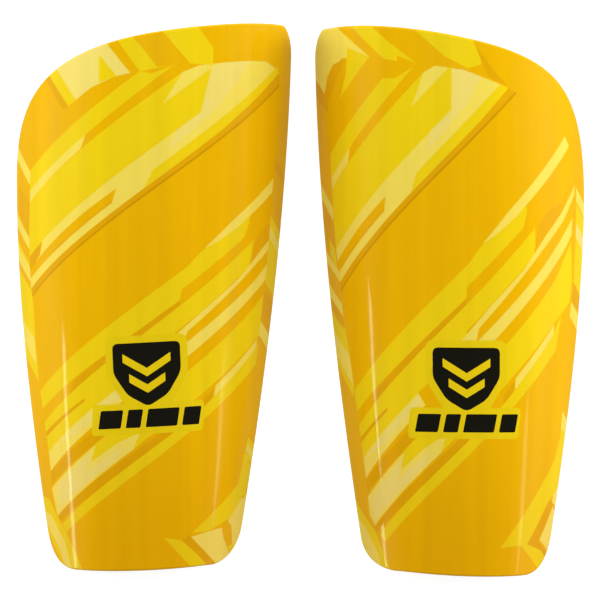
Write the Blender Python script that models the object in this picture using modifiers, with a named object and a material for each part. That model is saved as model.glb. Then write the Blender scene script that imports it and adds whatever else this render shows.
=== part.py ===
"""Pair of slip-in shin guards, lying side by side with the hard shells upward.

Each guard is a moulded shell, bent round the shin, with a printed film over
its outer face.  An adhesive sheet bonds a foam pad to the hollow face, and a
knit lining covers the foam where it meets the leg.  The two guards are a left
and a right one, close to mirror images of each other.

Units are metres, +Z up, +Y towards the knee, the guards side by side along X.
The shells stand on their two long edges on the plane z = 0.
"""
import math

import bmesh
import bpy
from mathutils import Matrix, Vector, geometry

# ----------------------------------------------------------------------------
# Driving dimensions.  Lengths are in millimetres here; MM turns them to metres.
# ----------------------------------------------------------------------------
MM = 0.001

# The bend round the shin: an arc of this half angle at every station.
ARC_HALF_ANGLE = math.radians(66.0)
# Crown height over the half width between the long edges.
RISE_RATIO = 0.649
# Half width and centre line along the length, as polynomials in y / 100 mm.
HALF_WIDTH = (47.14, 9.26, -5.25, -1.40)
CENTRE_LINE = (-0.55, 2.05, 1.62, 0.71)

# Thicknesses, and each layer's outer face measured from the shell's outer face.
SHELL_THICKNESS = 1.8
FILM_FACE, FILM_THICKNESS = 0.50, 0.20
ADHESIVE_FACE, ADHESIVE_THICKNESS = -2.20, 0.20
FOAM_FACE, FOAM_THICKNESS = -2.80, 4.0
LINING_FACE, LINING_THICKNESS = -7.15, 0.60

# How far each layer stops short of the shell's outline, all round, and the
# share of the arc that it keeps towards the two long edges.
FILM_INSET, FILM_ARC = 0.8, 1.0
ADHESIVE_INSET, ADHESIVE_ARC = 5.0, 0.93
FOAM_INSET, FOAM_ARC = 2.5, 0.945
LINING_INSET, LINING_ARC = 3.0, 0.930

# The shell's arc runs a little past the resting plane and is trimmed flat there.
SHELL_ARC_OVERRUN = 1.02

# The outline of a guard, on the unrolled shell.  Across, 1 is the long edge on
# the resting plane (minus is the outer side of the leg); along, y is in mm.
OUTLINE = {
    "outer_shoulder_y": 48.8, "outer_shoulder_pull": 25.9,
    "crown_y": 98.1, "crown_slope": 10.0, "crown_pull_out": 0.616, "crown_pull_in": 0.498,
    "top_corner": (0.884, 102.3), "top_corner_slope": 0.9,
    "top_corner_pull_out": 0.055, "top_corner_pull_in": 0.040,
    "inner_shoulder_y": 90.7, "inner_shoulder_pull": 6.7,
    "inner_hem_y": -83.8, "inner_hem_pull": 9.4,
    "inner_toe": (0.642, -98.2), "inner_toe_slope": 0.24,
    "inner_toe_pull_out": 0.120, "inner_toe_pull_in": 0.113,
    "outer_toe": (-0.640, -100.0), "outer_toe_slope": -0.81,
    "outer_toe_pull_in": 0.637, "outer_toe_pull_out": 0.231,
    "outer_hem_y": -84.7, "outer_hem_pull": 8.3,
}
# The right guard is trimmed slightly rounder at its outer shoulder.
RIGHT_TRIM = {
    "outer_shoulder_y": 34.6, "outer_shoulder_pull": 44.8,
    "crown_y": 99.1, "crown_slope": 11.2, "crown_pull_out": 0.716,
    "inner_hem_y": -86.3, "inner_hem_pull": 9.8,
    "inner_toe": (0.567, -98.6), "inner_toe_slope": -0.31,
    "inner_toe_pull_out": 0.102, "inner_toe_pull_in": 0.144,
}
RIGHT_WIDTH_SCALE = 0.985

# Where the two guards lie: centre of each, and the right one's small turn.
LEFT_PLACE, LEFT_TURN = (-56.5, 0.0), 0.0
RIGHT_PLACE, RIGHT_TURN = (57.3, -1.92), math.radians(-0.5)
# Moves the pair so that its bounding box is centred on the origin.
PAIR_SHIFT = (-0.17, -0.08)

# Mesh divisions of every layer, across and along.
ACROSS, ALONG = 18, 14
EDGE_CLUSTER = 0.45


# ----------------------------------------------------------------------------
# The curved surface
# ----------------------------------------------------------------------------
def poly(coefficients, y):
    t = y / 100.0
    return sum(c * t ** k for k, c in enumerate(coefficients))


class Guard:
    """One guard's curved surface and outline."""

    def __init__(self, mirrored, width_scale, trim):
        self.mirrored = mirrored
        self.scale = width_scale
        self.o = dict(OUTLINE, **trim)

    def half_width(self, y):
        return poly(HALF_WIDTH, y)

    def unrolled(self, a, y):
        """Distance across the unrolled shell of the share a of the arc."""
        return a * ARC_HALF_ANGLE * self.scale * self.half_width(y) / math.sin(ARC_HALF_ANGLE)

    def arc_share(self, s, y):
        return s / self.unrolled(1.0, y)

    def point(self, a, y):
        phi = a * ARC_HALF_ANGLE
        w = self.half_width(y)
        c = math.cos(ARC_HALF_ANGLE)
        x = poly(CENTRE_LINE, y) + self.scale * w * math.sin(phi) / math.sin(ARC_HALF_ANGLE)
        z = RISE_RATIO * w * (math.cos(phi) - c) / (1.0 - c)
        return Vector((x, y, z))

    def normal(self, a, y):
        da, dy = 1e-3, 0.05
        across = self.point(a + da, y) - self.point(a - da, y)
        along = self.point(a, y + dy) - self.point(a, y - dy)
        return across.cross(along).normalized()

    def outline(self, arc):
        """Four sides of the outline, each a list of (a, y), between corner middles.

        arc scales the share of the arc at the long edges.
        """
        o = self.o
        v = lambda a, y: Vector((a, y, 0.0))
        top = v(*o["top_corner"])
        toe_in = v(*o["inner_toe"])
        toe_out = v(*o["outer_toe"])
        crown = v(0.0, o["crown_y"])
        e = SHELL_ARC_OVERRUN

        def along(p, slope, pull):
            return p + Vector((pull, slope * pull, 0.0))

        curves = [
            # outer shoulder, up to the crown
            (v(-e, o["outer_shoulder_y"]), v(-e, o["outer_shoulder_y"] + o["outer_shoulder_pull"]),
             along(crown, o["crown_slope"], -o["crown_pull_out"]), crown),
            # top edge
            (crown, along(crown, o["crown_slope"], o["crown_pull_in"]),
             along(top, o["top_corner_slope"], -o["top_corner_pull_out"]), top),
            # inner top corner
            (top, along(top, o["top_corner_slope"], o["top_corner_pull_in"]),
             v(e, o["inner_shoulder_y"] + o["inner_shoulder_pull"]), v(e, o["inner_shoulder_y"])),
            # inner long edge
            (v(e, o["inner_shoulder_y"]), v(e, o["inner_shoulder_y"] - 50.0),
             v(e, o["inner_hem_y"] + 50.0), v(e, o["inner_hem_y"])),
            # inner bottom corner
            (v(e, o["inner_hem_y"]), v(e, o["inner_hem_y"] - o["inner_hem_pull"]),
             along(toe_in, o["inner_toe_slope"], o["inner_toe_pull_out"]), toe_in),
            # bottom edge
            (toe_in, along(toe_in, o["inner_toe_slope"], -o["inner_toe_pull_in"]),
             along(toe_out, o["outer_toe_slope"], o["outer_toe_pull_in"]), toe_out),
            # outer bottom corner
            (toe_out, along(toe_out, o["outer_toe_slope"], -o["outer_toe_pull_out"]),
             v(-e, o["outer_hem_y"] - o["outer_hem_pull"]), v(-e, o["outer_hem_y"])),
            # outer long edge
            (v(-e, o["outer_hem_y"]), v(-e, o["outer_hem_y"] + 40.0),
             v(-e, o["outer_shoulder_y"] - 40.0), v(-e, o["outer_shoulder_y"])),
        ]
        n = 48
        runs = []
        for k0, h0, h1, k1 in curves:
            pts = geometry.interpolate_bezier(k0, h0, h1, k1, n + 1)
            runs.append([(p.x / e * arc, p.y) for p in pts[:-1]])
        cut = [int(n * f) for f in (0.45, 0.50, 0.50, 0.50)]
        left = runs[6][cut[3]:] + runs[7] + runs[0][:cut[0] + 1]
        upper = runs[0][cut[0]:] + runs[1] + runs[2][:cut[1] + 1]
        right = runs[2][cut[1]:] + runs[3] + runs[4][:cut[2] + 1]
        lower = runs[4][cut[2]:] + runs[5] + runs[6][:cut[3] + 1]
        return lower[::-1], right[::-1], upper, left

    def inset(self, side, distance):
        """Move a side of the outline inwards on the unrolled shell."""
        flat = [Vector((self.unrolled(a, y), y)) for a, y in side]
        out = []
        for k, p in enumerate(flat):
            tangent = (flat[min(k + 1, len(flat) - 1)] - flat[max(k - 1, 0)]).normalized()
            inward = Vector((-tangent.y, tangent.x))
            if inward.dot(p) > 0.0:
                inward.negate()
            out.append(p + inward * distance)
        return out


def resample(points, share):
    """Point at a share of a polyline's length."""
    lengths = [0.0]
    for p, q in zip(points, points[1:]):
        lengths.append(lengths[-1] + (q - p).length)
    target = share * lengths[-1]
    for k in range(1, len(points)):
        if lengths[k] >= target - 1e-9:
            step = lengths[k] - lengths[k - 1]
            f = 0.0 if step == 0.0 else (target - lengths[k - 1]) / step
            return points[k - 1].lerp(points[k], min(max(f, 0.0), 1.0))
    return points[-1].copy()


def clustered(t):
    """Spread 0..1 so that divisions are closer together towards both ends."""
    return (1.0 - EDGE_CLUSTER) * t + EDGE_CLUSTER * 0.5 * (1.0 - math.cos(math.pi * t))


def layer_mesh(name, guard, face, inset, arc):
    """A grid laid over the guard's outline and bent on to its surface."""
    lower, right, upper, left = [guard.inset(s, inset) for s in guard.outline(arc)]
    # inset sides meet at their shared corner points
    for a, i, b, j in ((lower, 0, left, 0), (lower, -1, right, 0), (upper, 0, left, -1), (upper, -1, right, -1)):
        middle = (a[i] + b[j]) / 2.0
        a[i], b[j] = middle, middle.copy()
    bm = bmesh.new()
    bmesh.ops.create_grid(bm, x_segments=ACROSS, y_segments=ALONG, size=1.0)
    for vert in bm.verts:
        u = clustered(min(max((vert.co.x + 1.0) / 2.0, 0.0), 1.0))
        v = clustered(min(max((vert.co.y + 1.0) / 2.0, 0.0), 1.0))
        b, t = resample(lower, u), resample(upper, u)
        l, r = resample(left, v), resample(right, v)
        corners = ((1 - u) * (1 - v) * lower[0] + u * (1 - v) * lower[-1]
                   + (1 - u) * v * upper[0] + u * v * upper[-1])
        flat = (1 - v) * b + v * t + (1 - u) * l + u * r - corners
        a = guard.arc_share(flat.x, flat.y)
        p = guard.point(a, flat.y) + guard.normal(a, flat.y) * face
        if guard.mirrored:
            p.x = -p.x
        vert.co = p * MM
    bmesh.ops.recalc_face_normals(bm, faces=bm.faces[:])
    if sum(f.normal.z for f in bm.faces) < 0.0:
        bmesh.ops.reverse_faces(bm, faces=bm.faces[:])
    mesh = bpy.data.meshes.new(name)
    bm.to_mesh(mesh)
    bm.free()
    return mesh


# ----------------------------------------------------------------------------
# Scene helpers
# ----------------------------------------------------------------------------
def clear_scene():
    for obj in list(bpy.data.objects):
        bpy.data.objects.remove(obj, do_unlink=True)
    for coll in list(bpy.data.collections):
        bpy.data.collections.remove(coll)


def collection(name):
    coll = bpy.data.collections.new(name)
    bpy.context.scene.collection.children.link(coll)
    return coll


def material(name, color, roughness, metallic=0.0):
    mat = bpy.data.materials.new(name)
    mat.use_nodes = True
    bsdf = mat.node_tree.nodes["Principled BSDF"]
    bsdf.inputs["Base Color"].default_value = (*color, 1.0)
    bsdf.inputs["Roughness"].default_value = roughness
    bsdf.inputs["Metallic"].default_value = metallic
    return mat


def place(coll, name, mesh, mat, parent):
    obj = bpy.data.objects.new(name, mesh)
    coll.objects.link(obj)
    obj.parent = parent
    mesh.materials.append(mat)
    mesh.shade_smooth()
    return obj


def thicken(obj, thickness):
    mod = obj.modifiers.new("thickness", "SOLIDIFY")
    mod.thickness = thickness * MM
    mod.offset = -1.0
    mod.use_even_offset = True
    return mod


def cut(obj, cutter):
    mod = obj.modifiers.new("flat_edge", "BOOLEAN")
    mod.operation = "DIFFERENCE"
    mod.solver = "EXACT"
    mod.object = cutter


# ----------------------------------------------------------------------------
# Build
# ----------------------------------------------------------------------------
def build_guard(side, guard, origin, turn, coll, mats, cutter):
    empty = bpy.data.objects.new(side + "_guard_origin", None)
    empty.empty_display_size = 0.02
    coll.objects.link(empty)
    empty.location = ((origin[0] + PAIR_SHIFT[0]) * MM, (origin[1] + PAIR_SHIFT[1]) * MM, 0.0)
    empty.rotation_euler = (0.0, 0.0, turn)

    layers = (
        ("shell", 0.0, SHELL_THICKNESS, 0.0, SHELL_ARC_OVERRUN),
        ("graphic_film", FILM_FACE, FILM_THICKNESS, FILM_INSET, FILM_ARC),
        ("adhesive_sheet", ADHESIVE_FACE, ADHESIVE_THICKNESS, ADHESIVE_INSET, ADHESIVE_ARC),
        ("foam_pad", FOAM_FACE, FOAM_THICKNESS, FOAM_INSET, FOAM_ARC),
        ("lining", LINING_FACE, LINING_THICKNESS, LINING_INSET, LINING_ARC),
    )
    for name, face, thickness, inset, arc in layers:
        node = side + "_" + name
        mesh = layer_mesh(node, guard, face, inset, arc)
        obj = place(coll, node, mesh, mats[name], empty)
        thicken(obj, thickness)
        if name == "shell":
            cut(obj, cutter)


def main():
    clear_scene()
    parts = collection("shin_guard_pair")
    cutters = collection("cutters")

    # everything below the resting plane is trimmed from the shells
    bpy.ops.mesh.primitive_cube_add(size=1.0, location=(0.0, 0.0, -0.010))
    cutter = bpy.context.object
    cutter.name = "resting_plane_cutter"
    cutter.scale = (0.30, 0.30, 0.020)
    for coll in list(cutter.users_collection):
        coll.objects.unlink(cutter)
    cutters.objects.link(cutter)
    cutter.hide_render = True
    cutter.display_type = "WIRE"

    mats = {
        "shell": material("shell_polypropylene", (0.85, 0.62, 0.10), 0.25),
        "graphic_film": material("film_gloss_print", (0.90, 0.62, 0.03), 0.12),
        "adhesive_sheet": material("adhesive_sheet", (0.80, 0.78, 0.70), 0.60),
        "foam_pad": material("foam_eva", (0.05, 0.05, 0.055), 0.85),
        "lining": material("lining_knit", (0.09, 0.09, 0.10), 0.95),
    }
    build_guard("left", Guard(False, 1.0, {}), LEFT_PLACE, LEFT_TURN, parts, mats, cutter)
    build_guard("right", Guard(True, RIGHT_WIDTH_SCALE, RIGHT_TRIM), RIGHT_PLACE, RIGHT_TURN, parts, mats, cutter)
    bpy.context.view_layer.update()


main()
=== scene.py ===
"""Pair of slip-in shin guards: finished surfaces, print, foam, lining, light.

Each guard is five thin layers bent over one curved surface.  Every layer is
laid out on the unrolled guard (s across, y along, in millimetres), meshed
there, and then bent on to the surface at its own height h over the shell's
outer face.  The print is drawn the same way, as coloured regions whose edges
are mesh edges, so that the bands stay crisp and follow the bend.
"""
import math

import bmesh
import bpy
import numpy as np
from mathutils import Matrix, Vector, geometry

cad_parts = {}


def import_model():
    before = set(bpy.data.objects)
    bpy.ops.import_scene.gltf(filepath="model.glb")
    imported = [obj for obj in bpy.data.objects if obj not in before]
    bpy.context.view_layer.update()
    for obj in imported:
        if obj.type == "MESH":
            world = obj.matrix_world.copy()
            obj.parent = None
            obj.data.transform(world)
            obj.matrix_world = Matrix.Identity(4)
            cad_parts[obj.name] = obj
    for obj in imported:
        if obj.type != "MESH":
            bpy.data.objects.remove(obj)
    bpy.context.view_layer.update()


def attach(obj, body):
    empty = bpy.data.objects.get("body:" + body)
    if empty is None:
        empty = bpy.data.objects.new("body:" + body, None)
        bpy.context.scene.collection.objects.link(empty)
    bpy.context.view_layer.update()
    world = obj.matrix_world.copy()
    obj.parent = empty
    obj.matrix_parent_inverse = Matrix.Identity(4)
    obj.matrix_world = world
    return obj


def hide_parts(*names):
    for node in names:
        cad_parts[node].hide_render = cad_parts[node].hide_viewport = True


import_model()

MM = 0.001

# ----------------------------------------------------------------------------
# The curved surface and the outline, as the structure has them
# ----------------------------------------------------------------------------
ARC = math.radians(66.0)
RISE_RATIO = 0.649
HALF_WIDTH = (47.14, 9.26, -5.25, -1.40)
CENTRE_LINE = (-0.55, 2.05, 1.62, 0.71)

OUTLINE = {
    "outer_shoulder_y": 48.8, "outer_shoulder_pull": 25.9,
    "crown_y": 98.1, "crown_slope": 10.0, "crown_pull_out": 0.616, "crown_pull_in": 0.498,
    "top_corner": (0.884, 102.3), "top_corner_slope": 0.9,
    "top_corner_pull_out": 0.055, "top_corner_pull_in": 0.040,
    "inner_shoulder_y": 90.7, "inner_shoulder_pull": 6.7,
    "inner_hem_y": -83.8, "inner_hem_pull": 9.4,
    "inner_toe": (0.642, -98.2), "inner_toe_slope": 0.24,
    "inner_toe_pull_out": 0.120, "inner_toe_pull_in": 0.113,
    "outer_toe": (-0.640, -100.0), "outer_toe_slope": -0.81,
    "outer_toe_pull_in": 0.637, "outer_toe_pull_out": 0.231,
    "outer_hem_y": -84.7, "outer_hem_pull": 8.3,
}
RIGHT_TRIM = {
    "outer_shoulder_y": 34.6, "outer_shoulder_pull": 44.8,
    "crown_y": 99.1, "crown_slope": 11.2, "crown_pull_out": 0.716,
    "inner_hem_y": -86.3, "inner_hem_pull": 9.8,
    "inner_toe": (0.567, -98.6), "inner_toe_slope": -0.31,
    "inner_toe_pull_out": 0.102, "inner_toe_pull_in": 0.144,
}
RING_STEP = 1.5


def poly(coefficients, y):
    t = np.asarray(y, float) / 100.0
    return sum(c * t ** k for k, c in enumerate(coefficients))


class Guard:
    """One guard: its surface, its outline on the unrolled shell, its place."""

    def __init__(self, side, mirrored, scale, trim, origin, turn):
        self.side, self.mirrored, self.scale = side, mirrored, scale
        self.body = side + "_guard"
        self.o = dict(OUTLINE, **trim)
        self.origin, self.turn = origin, turn
        self.outline = self._outline()
        self.step = np.roll(self.outline, -1, axis=0) - self.outline

    def spread(self, y):
        return ARC * self.scale * poly(HALF_WIDTH, y) / math.sin(ARC)

    def _points(self, s, y):
        w = poly(HALF_WIDTH, y)
        phi = s * math.sin(ARC) / (self.scale * w)
        c = math.cos(ARC)
        return np.stack([poly(CENTRE_LINE, y) + self.scale * w * np.sin(phi) / math.sin(ARC),
                         y + 0.0 * phi,
                         RISE_RATIO * w * (np.cos(phi) - c) / (1.0 - c)], axis=-1)

    def surface(self, q):
        """Point, outward normal, and the two tangents at unrolled points q."""
        s, y = q[:, 0], q[:, 1]
        e = 0.02
        p = self._points(s, y)
        across = (self._points(s + e, y) - self._points(s - e, y)) / (2 * e)
        along = (self._points(s, y + e) - self._points(s, y - e)) / (2 * e)
        n = np.cross(across, along)
        n /= np.linalg.norm(n, axis=1)[:, None]
        return p, n, across, along

    def place(self, v, direction=False):
        """From the guard's own frame (mm) to the model's frame (metres)."""
        v = np.array(v, float)
        if self.mirrored:
            v[:, 0] *= -1.0
        c, s = math.cos(self.turn), math.sin(self.turn)
        x = v[:, 0] * c - v[:, 1] * s
        y = v[:, 0] * s + v[:, 1] * c
        v[:, 0], v[:, 1] = x, y
        if direction:
            return v
        v[:, 0] += self.origin[0]
        v[:, 1] += self.origin[1]
        v[:, 2] = np.maximum(v[:, 2], 0.0)      # the long edges are trimmed flat
        return v * MM

    def _outline(self):
        o, e = self.o, 1.0

        def v(a, y):
            return Vector((a, y, 0.0))

        def along(p, slope, pull):
            return p + Vector((pull, slope * pull, 0.0))

        top, toe_in, toe_out = v(*o["top_corner"]), v(*o["inner_toe"]), v(*o["outer_toe"])
        crown = v(0.0, o["crown_y"])
        curves = [
            (v(-e, o["outer_shoulder_y"]), v(-e, o["outer_shoulder_y"] + o["outer_shoulder_pull"]),
             along(crown, o["crown_slope"], -o["crown_pull_out"]), crown),
            (crown, along(crown, o["crown_slope"], o["crown_pull_in"]),
             along(top, o["top_corner_slope"], -o["top_corner_pull_out"]), top),
            (top, along(top, o["top_corner_slope"], o["top_corner_pull_in"]),
             v(e, o["inner_shoulder_y"] + o["inner_shoulder_pull"]), v(e, o["inner_shoulder_y"])),
            (v(e, o["inner_shoulder_y"]), v(e, o["inner_shoulder_y"] - 50.0),
             v(e, o["inner_hem_y"] + 50.0), v(e, o["inner_hem_y"])),
            (v(e, o["inner_hem_y"]), v(e, o["inner_hem_y"] - o["inner_hem_pull"]),
             along(toe_in, o["inner_toe_slope"], o["inner_toe_pull_out"]), toe_in),
            (toe_in, along(toe_in, o["inner_toe_slope"], -o["inner_toe_pull_in"]),
             along(toe_out, o["outer_toe_slope"], o["outer_toe_pull_in"]), toe_out),
            (toe_out, along(toe_out, o["outer_toe_slope"], -o["outer_toe_pull_out"]),
             v(-e, o["outer_hem_y"] - o["outer_hem_pull"]), v(-e, o["outer_hem_y"])),
            (v(-e, o["outer_hem_y"]), v(-e, o["outer_hem_y"] + 40.0),
             v(-e, o["outer_shoulder_y"] - 40.0), v(-e, o["outer_shoulder_y"])),
        ]
        ring = []
        for c in curves:
            ring += [(p.x, p.y) for p in geometry.interpolate_bezier(*c, 161)[:-1]]
        ring = np.array(ring)
        ring[:, 0] *= self.spread(ring[:, 1])
        ring = ring[::-1]                      # counter-clockwise
        # even spacing
        closed = np.vstack([ring, ring[:1]])
        length = np.concatenate([[0.0], np.cumsum(np.linalg.norm(np.diff(closed, axis=0), axis=1))])
        n = int(round(length[-1] / RING_STEP))
        at = np.arange(n) * length[-1] / n
        return np.stack([np.interp(at, length, closed[:, k]) for k in (0, 1)], axis=1)

    def nearest(self, q):
        """Distance to the outline, and the unit vector out to it, at points q inside it."""
        best = np.full(len(q), 1e9)
        near = np.zeros((len(q), 2))
        for a, d in zip(self.outline, self.step):
            t = np.clip(((q - a) @ d) / (d @ d), 0.0, 1.0)
            p = a + t[:, None] * d
            gap = np.linalg.norm(q - p, axis=1)
            hit = gap < best
            best[hit], near[hit] = gap[hit], p[hit]
        out = near - q
        return best, out / np.maximum(best, 1e-9)[:, None]

    def ring(self, inset):
        tangent = np.roll(self.outline, -1, axis=0) - np.roll(self.outline, 1, axis=0)
        tangent /= np.linalg.norm(tangent, axis=1)[:, None]
        return self.outline + inset * np.stack([-tangent[:, 1], tangent[:, 0]], axis=1)


LEFT = Guard("left", False, 1.0, {}, (-56.67, -0.08), 0.0)
RIGHT = Guard("right", True, 0.985, RIGHT_TRIM, (57.13, -2.00), math.radians(-0.5))


# ----------------------------------------------------------------------------
# Meshing a layer
# ----------------------------------------------------------------------------
def inside(polygon, q):
    """Which points q lie inside the polygon."""
    polygon = np.asarray(polygon, float)
    hit = np.zeros(len(q), bool)
    lo, hi = polygon.min(0), polygon.max(0)
    box = np.nonzero(((q >= lo) & (q <= hi)).all(1))[0]
    if not len(box):
        return hit
    x, y = q[box, 0], q[box, 1]
    odd = np.zeros(len(box), bool)
    for (x0, y0), (x1, y1) in zip(polygon, np.roll(polygon, -1, axis=0)):
        if y0 == y1:
            continue
        cross = (y0 > y) != (y1 > y)
        odd ^= cross & (x < (x1 - x0) * (y - y0) / (y1 - y0) + x0)
    hit[box] = odd
    return hit


def dense(loop, step):
    """The same closed loop with no edge longer than step."""
    loop = np.asarray(loop, float)
    out = []
    for a, b in zip(loop, np.roll(loop, -1, axis=0)):
        n = max(1, int(math.ceil(np.linalg.norm(b - a) / step)))
        out += [a + (b - a) * k / n for k in range(n)]
    return np.array(out)


def triangulate(loops, border, spacing, clear=0.35, merge=0.0):
    """Triangles inside the loop border, with every loop kept as mesh edges.

    Loose points on a staggered grid fill the space between the loops.
    Returns the points and the triangles.
    """
    verts, edges = [], []
    for loop in [border] + list(loops):
        first = len(verts)
        verts += [Vector((float(a), float(b))) for a, b in loop]
        edges += [(first + k, first + (k + 1) % len(loop)) for k in range(len(loop))]
    lo, hi = border.min(0), border.max(0)
    rows = int((hi[1] - lo[1]) / spacing) + 1
    cols = int((hi[0] - lo[0]) / spacing) + 1
    gx, gy = np.meshgrid(np.arange(cols + 1), np.arange(rows + 1))
    grid = np.stack([lo[0] + (gx + 0.5 * (gy % 2)) * spacing, lo[1] + gy * spacing], axis=-1).reshape(-1, 2)
    grid = grid[inside(border, grid)]
    # keep the grid off the loops, so that no sliver is made
    keep = np.ones(len(grid), bool)
    for loop in [border] + list(loops):
        loop = np.asarray(loop, float)
        for a, b in zip(loop, np.roll(loop, -1, axis=0)):
            d = b - a
            if d @ d < 1e-12:
                continue
            t = np.clip(((grid - a) @ d) / (d @ d), 0.0, 1.0)
            keep &= np.linalg.norm(grid - (a + t[:, None] * d), axis=1) > clear * spacing
    verts += [Vector((float(a), float(b))) for a, b in grid[keep]]
    alone = not len(loops)
    co, _, faces, *_ = geometry.delaunay_2d_cdt(verts, edges, [], 1 if alone else 0, 1e-6)
    co = np.array([tuple(v) for v in co])
    tris = np.array([f for f in faces if len(f) == 3])
    if not alone:
        tris = tris[inside(border, co[tris].mean(1))]
    a, b, c = (co[tris[:, k]] for k in range(3))
    turn = (b[:, 0] - a[:, 0]) * (c[:, 1] - a[:, 1]) - (b[:, 1] - a[:, 1]) * (c[:, 0] - a[:, 0])
    if turn.sum() < 0:
        tris = tris[:, ::-1]
    # points closer than merge become one
    same = np.arange(len(co))
    pairs = np.unique(np.sort(np.concatenate([tris[:, [0, 1]], tris[:, [1, 2]], tris[:, [2, 0]]]), axis=1), axis=0)
    short = pairs[np.linalg.norm(co[pairs[:, 0]] - co[pairs[:, 1]], axis=1) < merge]
    for a, b in short:
        a, b = same[a], same[b]
        same[same == max(a, b)] = min(a, b)
    tris = same[tris]
    tris = tris[(tris[:, 0] != tris[:, 1]) & (tris[:, 1] != tris[:, 2]) & (tris[:, 2] != tris[:, 0])]
    # slivers on the border go
    for _ in range(0 if alone else 6):
        a, b, c = (co[tris[:, k]] for k in range(3))
        thin = (b[:, 0] - a[:, 0]) * (c[:, 1] - a[:, 1]) - (b[:, 1] - a[:, 1]) * (c[:, 0] - a[:, 0]) < 4e-3
        size = len(co)
        code = np.stack([tris[:, k] * size + tris[:, (k + 1) % 3] for k in range(3)], axis=1)
        back = np.stack([tris[:, (k + 1) % 3] * size + tris[:, k] for k in range(3)], axis=1)
        edge = (~np.isin(back, code)).any(1)
        if not (thin & edge).any():
            break
        tris = tris[~(thin & edge)]
    used = np.unique(tris)
    remap = np.full(len(co), -1)
    remap[used] = np.arange(len(used))
    return co[used], remap[tris]


def border_of(tris):
    """The border of a patch of counter-clockwise triangles, in order."""
    seen = {}
    for t in tris:
        for k in range(3):
            seen[(t[k], t[(k + 1) % 3])] = True
    follow = {a: b for a, b in seen if (b, a) not in seen}
    start = next(iter(follow))
    loop, at = [start], follow[start]
    while at != start:
        loop.append(at)
        at = follow[at]
    if len(loop) != len(follow):
        raise ValueError("the border isn't one loop: %d of %d" % (len(loop), len(follow)))
    return np.array(loop)


def layer(guard, name, top, rim, bottom, loops=(), shade=None):
    """A closed thin piece.

    top and bottom are (inset, spacing, height) with height a function of the
    points and their distance to the outline; rim is the list of
    (inset, h, turn) rings between them, turn being the angle of the normal
    from straight out of the surface towards the edge.
    """
    inset, spacing, height = top
    q, tris = triangulate(loops, guard.ring(inset), spacing, merge=0.06)
    edge = border_of(tris)
    d, out = guard.nearest(q)
    roll = shade(d) if shade else np.zeros(len(q))
    all_q, all_h, all_roll, all_out = [q], [height(q, d)], [roll], [out]
    faces = [tuple(t) for t in tris]
    kinds = ["top"] * len(faces)
    ring = list(edge)
    count = len(q)
    base_q, base_out, base_d = q[edge], out[edge], d[edge]
    for inset_k, h_k, turn_k in rim:
        shift = (base_d - inset_k)[:, None]
        all_q.append(base_q + base_out * shift)
        all_h.append(np.full(len(edge), float(h_k)))
        all_roll.append(np.full(len(edge), float(turn_k)))
        all_out.append(base_out)
        new = list(range(count, count + len(edge)))
        count += len(edge)
        for k in range(len(edge)):
            n = (k + 1) % len(edge)
            faces.append((ring[n], ring[k], new[k], new[n]))
            kinds.append("rim")
        ring = new
    inset_b, spacing_b, height_b = bottom
    border = base_q + base_out * (base_d - inset_b)[:, None]
    qb, tb = triangulate((), border, spacing_b)
    # the bottom's border points are the ring's own
    match = {}
    loop_b = border_of(tb)
    if len(loop_b) != len(border):
        raise ValueError("%s: the two borders differ, %d and %d" % (name, len(loop_b), len(border)))
    first = int(np.argmin(np.linalg.norm(qb[loop_b] - border[0], axis=1)))
    for m in range(len(border)):
        match[int(loop_b[(first + m) % len(border)])] = m
    db, outb = guard.nearest(qb)
    hb = height_b(qb, db)
    # the last ring takes the bottom's place at its border
    last = list(range(count, count + len(edge)))
    all_q.append(border)
    all_h.append(height_b(border, np.full(len(border), float(inset_b))))
    all_roll.append(np.full(len(edge), math.pi))
    all_out.append(base_out)
    count += len(edge)
    for k in range(len(edge)):
        n = (k + 1) % len(edge)
        faces.append((ring[n], ring[k], last[k], last[n]))
        kinds.append("rim")
    extra = [k for k in range(len(qb)) if k not in match]
    index = {k: last[m] for k, m in match.items()}
    for n, k in enumerate(extra):
        index[k] = count + n
    all_q.append(qb[extra])
    all_h.append(hb[extra])
    all_roll.append(np.full(len(extra), math.pi))
    all_out.append(outb[extra])
    for t in tb:
        faces.append((index[t[2]], index[t[1]], index[t[0]]))
        kinds.append("bottom")
    q = np.vstack(all_q)
    h, roll, out = np.concatenate(all_h), np.concatenate(all_roll), np.vstack(all_out)
    p, n, across, along = guard.surface(q)
    side = across * out[:, :1] + along * out[:, 1:]
    side -= n * (side * n).sum(1)[:, None]
    side /= np.maximum(np.linalg.norm(side, axis=1), 1e-9)[:, None]
    co = guard.place(p + n * h[:, None])
    normal = guard.place(n * np.cos(roll)[:, None] + side * np.sin(roll)[:, None], direction=True)
    if guard.mirrored:
        faces = [f[::-1] for f in faces]
    mesh = bpy.data.meshes.new(name)
    mesh.from_pydata(co.tolist(), [], faces)
    if mesh.validate():
        raise ValueError("the mesh of %s isn't sound" % name)
    mesh.update()
    uv = mesh.uv_layers.new(name="unrolled")
    corner = np.zeros(len(mesh.loops), np.int32)
    mesh.loops.foreach_get("vertex_index", corner)
    uv.data.foreach_set("uv", (q[corner] * MM).astype(np.float32).ravel())
    obj = bpy.data.objects.new(name, mesh)
    bpy.context.scene.collection.objects.link(obj)
    mesh.shade_smooth()
    return obj, q, normal, kinds


# ----------------------------------------------------------------------------
# The print: bands of colour on the unrolled guard, in millimetres
# ----------------------------------------------------------------------------
def linear(r, g, b):
    f = lambda c: c / 12.92 if c <= 0.04045 else ((c + 0.055) / 1.055) ** 2.4
    return np.array([f(r / 255.0), f(g / 255.0), f(b / 255.0)])


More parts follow.
